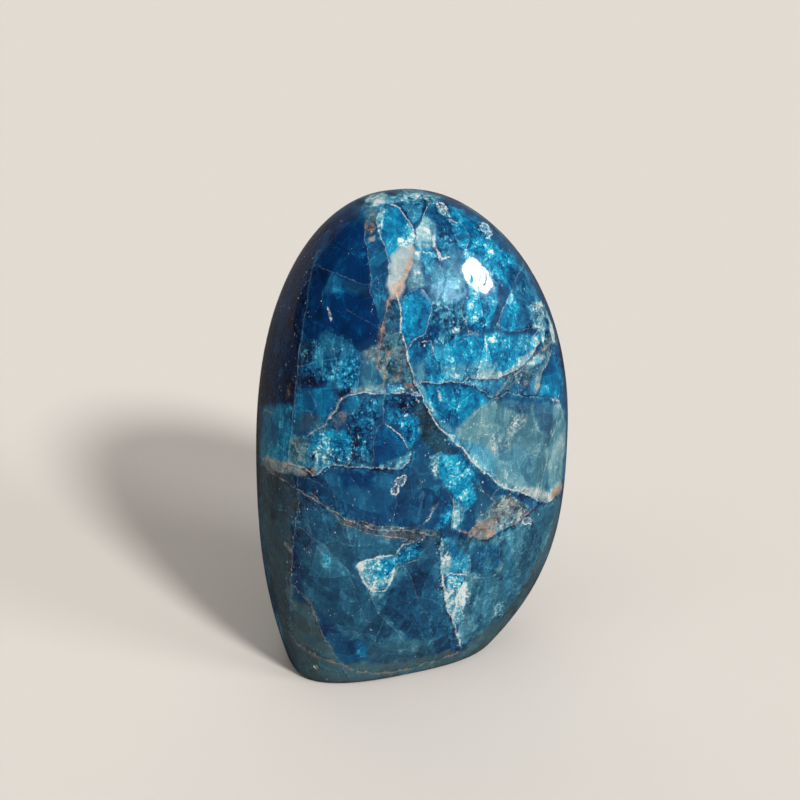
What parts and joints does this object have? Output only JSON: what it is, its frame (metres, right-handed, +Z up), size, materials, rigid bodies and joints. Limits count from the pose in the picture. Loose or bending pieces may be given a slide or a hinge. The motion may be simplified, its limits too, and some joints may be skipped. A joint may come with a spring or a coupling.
{
  "type": "polished apatite freeform",
  "caption": "Polished freeform of cracked, veined blue apatite: an upright rounded slab of stone that stands on its flat sawn foot.",
  "frame": {"origin": "on the surface that the stone stands on, below the middle of its box", "axes": "+Z up the height of the stone, +Y through its thickness from the front face to the back"},
  "size_m": [0.0566, 0.038, 0.09],
  "materials": {
    "blue_apatite": "polished"
  },
  "bodies": {
    "root": {"apatite_stone": "blue_apatite"}
  },
  "joints": []
}
